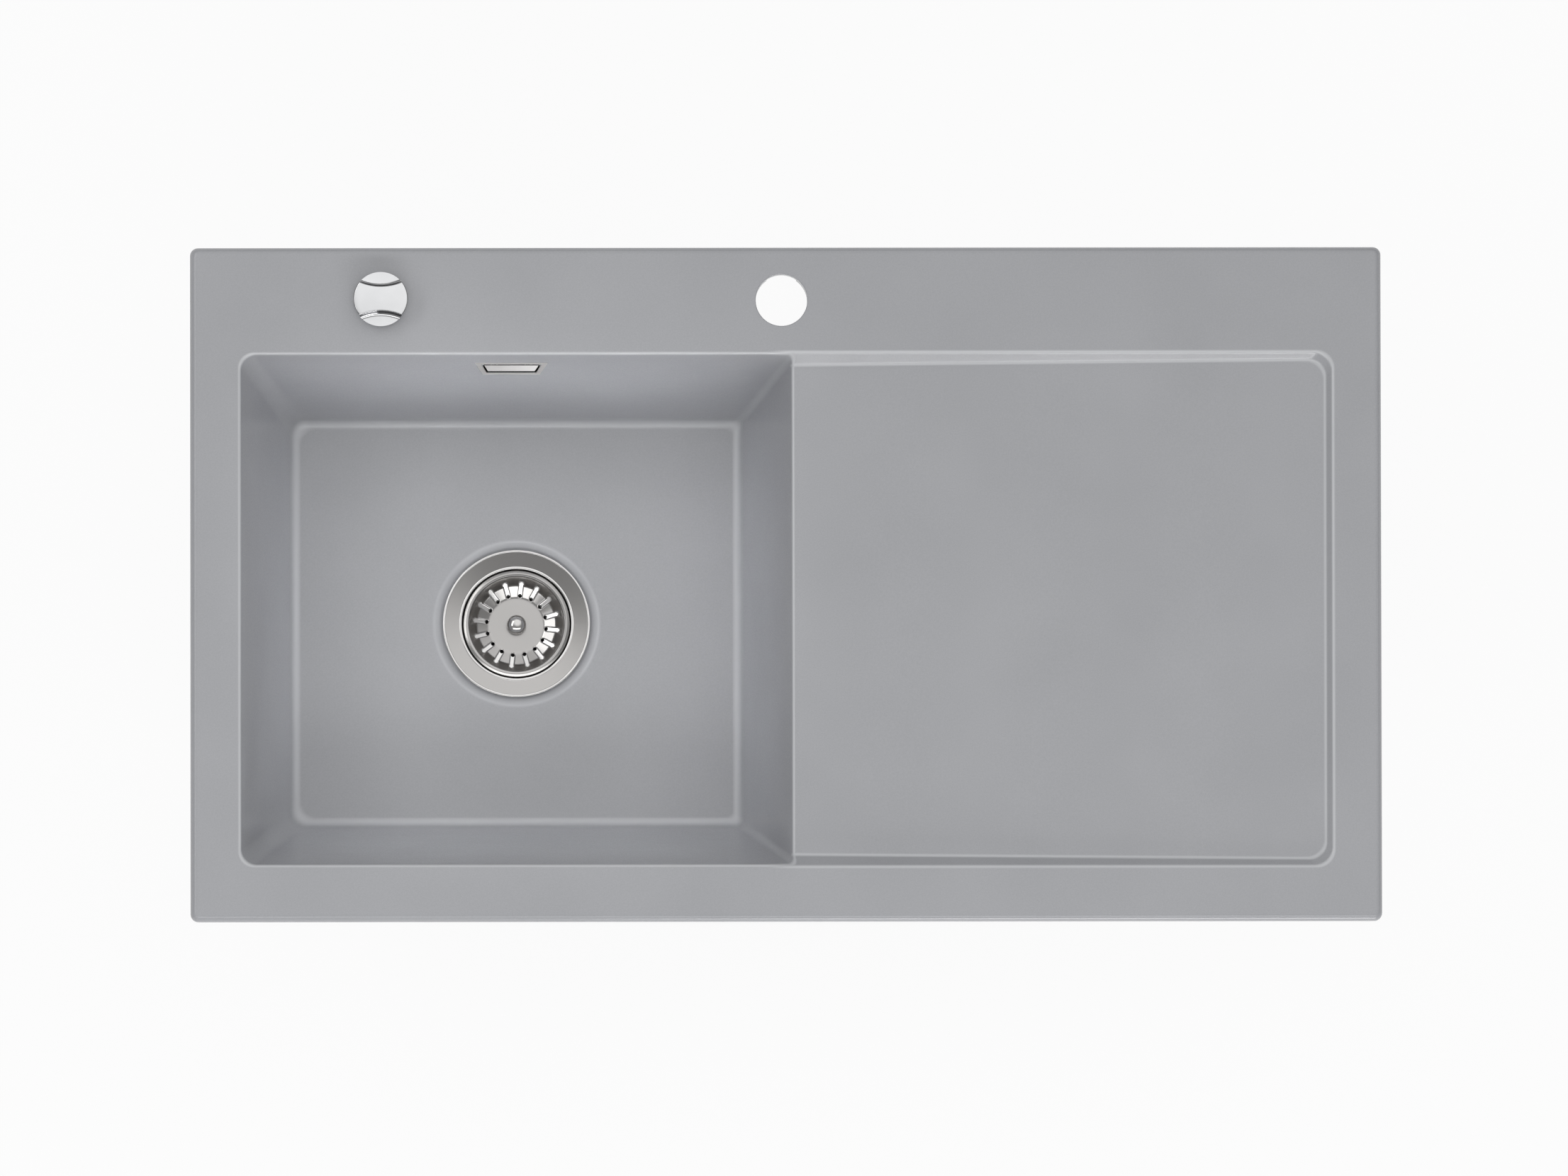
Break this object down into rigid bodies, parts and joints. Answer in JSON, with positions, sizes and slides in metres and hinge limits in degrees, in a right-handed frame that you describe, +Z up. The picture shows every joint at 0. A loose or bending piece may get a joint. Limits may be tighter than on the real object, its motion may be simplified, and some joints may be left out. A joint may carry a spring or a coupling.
{
  "type": "inset kitchen sink",
  "caption": "Rectangular inset ceramic sink with a deep bowl, a sloping drainer, a tap ledge, an overflow and a basket waste raised by a knob on the ledge.",
  "frame": {"origin": "middle of the rim outline, on the plane of the worktop under the rim", "axes": "+X to the drainer, +Y to the tap ledge at the rear, +Z up"},
  "size_m": [0.9, 0.51, 0.3568],
  "materials": {
    "ceramic": "satin grey glaze",
    "steel": "turned and brushed",
    "chrome": "polished",
    "rubber": "matt",
    "white_plastic": "moulded",
    "hose_plastic": "moulded",
    "black_plastic": "moulded",
    "brass": "turned"
  },
  "bodies": {
    "sink": {"sink_body": "ceramic", "overflow_frame": "steel", "overflow_cover": "steel", "overflow_gasket": "rubber", "overflow_housing": "white_plastic", "overflow_screws": "steel", "overflow_hose": "hose_plastic", "hose_nut_upper": "white_plastic", "hose_nut_lower": "white_plastic", "strainer_flange": "steel", "flange_gasket": "rubber", "pot_gasket": "rubber", "waste_pot": "white_plastic", "hollow_screw": "steel", "pin_seal": "rubber", "cable_elbow": "steel", "gland_nut": "black_plastic", "ferrule_lower": "brass", "cable_sheath": "black_plastic", "ferrule_upper": "brass", "control_shank": "chrome", "control_gasket": "rubber", "control_washer": "rubber", "control_nut": "black_plastic", "mechanism_case": "black_plastic", "mechanism_cover": "black_plastic", "cover_screws": "steel"},
    "knob": {"control_knob": "chrome", "grub_screw": "steel", "knob_spindle": "steel", "spindle_clip": "steel", "drive_pinion": "brass"},
    "rack": {"drive_rack": "white_plastic"},
    "pin": {"lift_pin": "steel"},
    "basket": {"strainer_basket": "steel", "basket_knob": "steel", "basket_seal": "rubber", "seal_retainer": "black_plastic"}
  },
  "joints": [
    {"name": "knob_turn", "type": "hinge", "parent": "sink", "child": "knob", "pos_m": [-0.306, 0.215, 0.02], "axis": [0, 0, -1], "range_deg": [0, 90]},
    {"name": "rack_slide", "type": "slide", "parent": "sink", "child": "rack", "axis": [-1, 0, 0], "range_m": [0, 0.0102]},
    {"name": "pin_lift", "type": "slide", "parent": "sink", "child": "pin", "axis": [0, 0, 1], "range_m": [0, 0.0102]},
    {"name": "basket_lift", "type": "slide", "parent": "pin", "child": "basket", "axis": [0, 0, 1], "range_m": [0, 0.24]}
  ],
  "couplings": [
    {"joint": "rack_slide", "follows": "knob_turn", "m_per_rad": 0.0064},
    {"joint": "pin_lift", "follows": "knob_turn", "m_per_rad": 0.0064}
  ]
}
